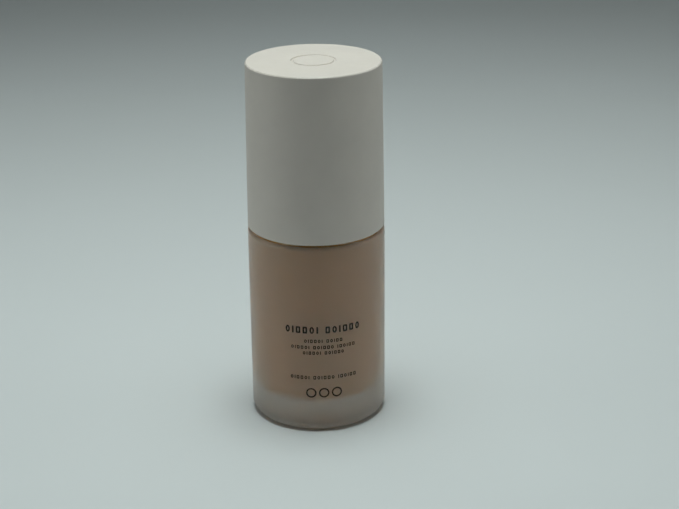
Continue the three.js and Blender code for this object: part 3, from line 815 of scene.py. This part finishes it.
def button_core():
    """The inner part: a post with the stem's socket, a top flange and the outlet to the spout."""
    flange, low, top = extent("actuator_core")
    post = 3.6
    flange_foot = top - 1.2
    height = spout_height()
    stem_top = extent("pump_stem")[2]
    corners = [
        (0, low), (post, low, 0.3), (post, flange_foot, 0.4), (flange, flange_foot), (flange, top, 0.2),
        (0, top),
    ]
    piece = turned("button_core", rounded(corners), SMALL)
    carved(piece, [rod(2.4, (0, -1, height), (0, -6.4, height), 48)], "UNION")
    socket = rod(STEM_RADIUS + 0.07, (0, 0, low - 1), (0, 0, stem_top + 0.1), 64)
    duct = rod(1, (0, 0, stem_top - 1), (0, 0, height))
    outlet = rod(1, (0, 1, height), (0, -8, height))
    seat = rod(1.98, (0, -4, height), (0, -8, height), 48)
    carved(piece, [socket, duct, outlet, seat])
    finish_piece(piece, "actuator", ["actuator_core"], [LINER_SATIN])


def nozzle():
    """The spout, turned about its own axis, which points forward."""
    reach = -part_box("nozzle_insert")[0].y / MM
    radius = extent("nozzle_insert")[0]
    root = -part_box("nozzle_insert")[1].y / MM
    bore = 0.75
    plug = 1.9
    shoulder = 7.2
    corners = [
        (bore, root), (plug, root, 0.2), (plug, shoulder), (radius, shoulder), (radius, reach, 0.8),
        (bore + 0.35, reach, 0.15), (bore, reach - 0.6, 0.1),
    ]
    forward = Matrix.Translation((0, 0, spout_height() * MM)) @ Matrix.Rotation(math.pi / 2, 4, "X")
    piece = turned("spout", rounded(corners, closed=True, steps=6), SMALL, closed=True, place=forward)
    finish_piece(piece, "actuator", ["nozzle_insert"], [BUTTON_MATTE])


# ---------- camera and studio ----------

# The camera looks along +Y and down at the bottle, from a point in the YZ plane. Its place and lens are
# in millimetres and its angles in radians.
CAMERA_DISTANCE = 396.42
CAMERA_HEIGHT = 198.64
CAMERA_PAN = 0.01545
CAMERA_TILT = 0.37232
CAMERA_ROLL = -0.0114
LENS = 83.917


def camera():
    """The camera, panned a little to the right and tilted down."""
    pan = Vector((math.sin(CAMERA_PAN), math.cos(CAMERA_PAN), 0))
    forward = pan * math.cos(CAMERA_TILT) - Vector((0, 0, math.sin(CAMERA_TILT)))
    right = forward.cross(Vector((0, 0, 1))).normalized()
    up = right.cross(forward)
    turn = Matrix((right, up, -forward)).transposed().to_4x4() @ Matrix.Rotation(CAMERA_ROLL, 4, "Z")
    data = bpy.data.cameras.new("camera")
    data.lens = LENS
    data.clip_start = 0.01
    data.clip_end = 20
    seen = bpy.data.objects.new("camera", data)
    bpy.context.scene.collection.objects.link(seen)
    seen.matrix_world = Matrix.Translation(Vector((0, -CAMERA_DISTANCE, CAMERA_HEIGHT)) * MM) @ turn
    bpy.context.scene.camera = seen


COOL_WHITE = (0.90, 1.0, 0.985)


def softbox(name, place, target, size, power, spread=180):
    """A soft light that the camera doesn't see. Its size is its width and height in metres."""
    data = bpy.data.lights.new(name, "AREA")
    data.shape = "RECTANGLE"
    data.size, data.size_y = size
    data.spread = math.radians(spread)
    data.energy = power
    data.color = COOL_WHITE
    lamp = bpy.data.objects.new(name, data)
    lamp.visible_camera = False
    lamp.location = place
    lamp.rotation_euler = (Vector(target) - Vector(place)).to_track_quat("-Z", "Y").to_euler()
    bpy.context.scene.collection.objects.link(lamp)


def studio():
    """A plain pale floor under soft lights from above, from both sides and from behind."""
    bm = bmesh.new()
    bmesh.ops.create_grid(bm, x_segments=4, y_segments=4, size=3)
    floor = new_object("floor", bm)
    mat, shader = principled("floor_paper", Roughness=0.8)
    vary_colour(mat, shader, noise(mat, 300), (0.66, 0.68, 0.68), (0.68, 0.70, 0.70))
    floor.data.materials.append(mat)
    middle = (0, 0, 0.05)
    softbox("high_light", (0, 0, 1.0), (0, 0, 0), (0.3, 0.3), 0.51, spread=60)
    softbox("top_light", (0, 0, 0.5), (0, 0, 0), (0.3, 0.3), 0.76)
    softbox("left_light", (-0.55, 0, 0.2), middle, (0.4, 0.4), 0.46)
    softbox("right_light", (0.55, 0, 0.2), middle, (0.4, 0.4), 0.39)
    softbox("back_light", (0, 0.7, 0.45), (0, 0, 0), (1.6, 0.5), 0.76)
    world = bpy.data.worlds.new("surround")
    world.use_nodes = True
    world.node_tree.nodes["Background"].inputs["Color"].default_value = (*COOL_WHITE, 1)
    world.node_tree.nodes["Background"].inputs["Strength"].default_value = 0.012
    bpy.context.scene.world = world
    bpy.context.scene.view_settings.view_transform = "Standard"


camera()
studio()
for make in (
    bottle_glass, foundation_fill, printed_marks, cap_shell, cap_liner, collar, closure, gasket, housing,
    retainer, dip_tube, spring, ball, stem, piston, rod_and_seal, button, button_core, nozzle,
):
    make()

bpy.context.view_layer.update()
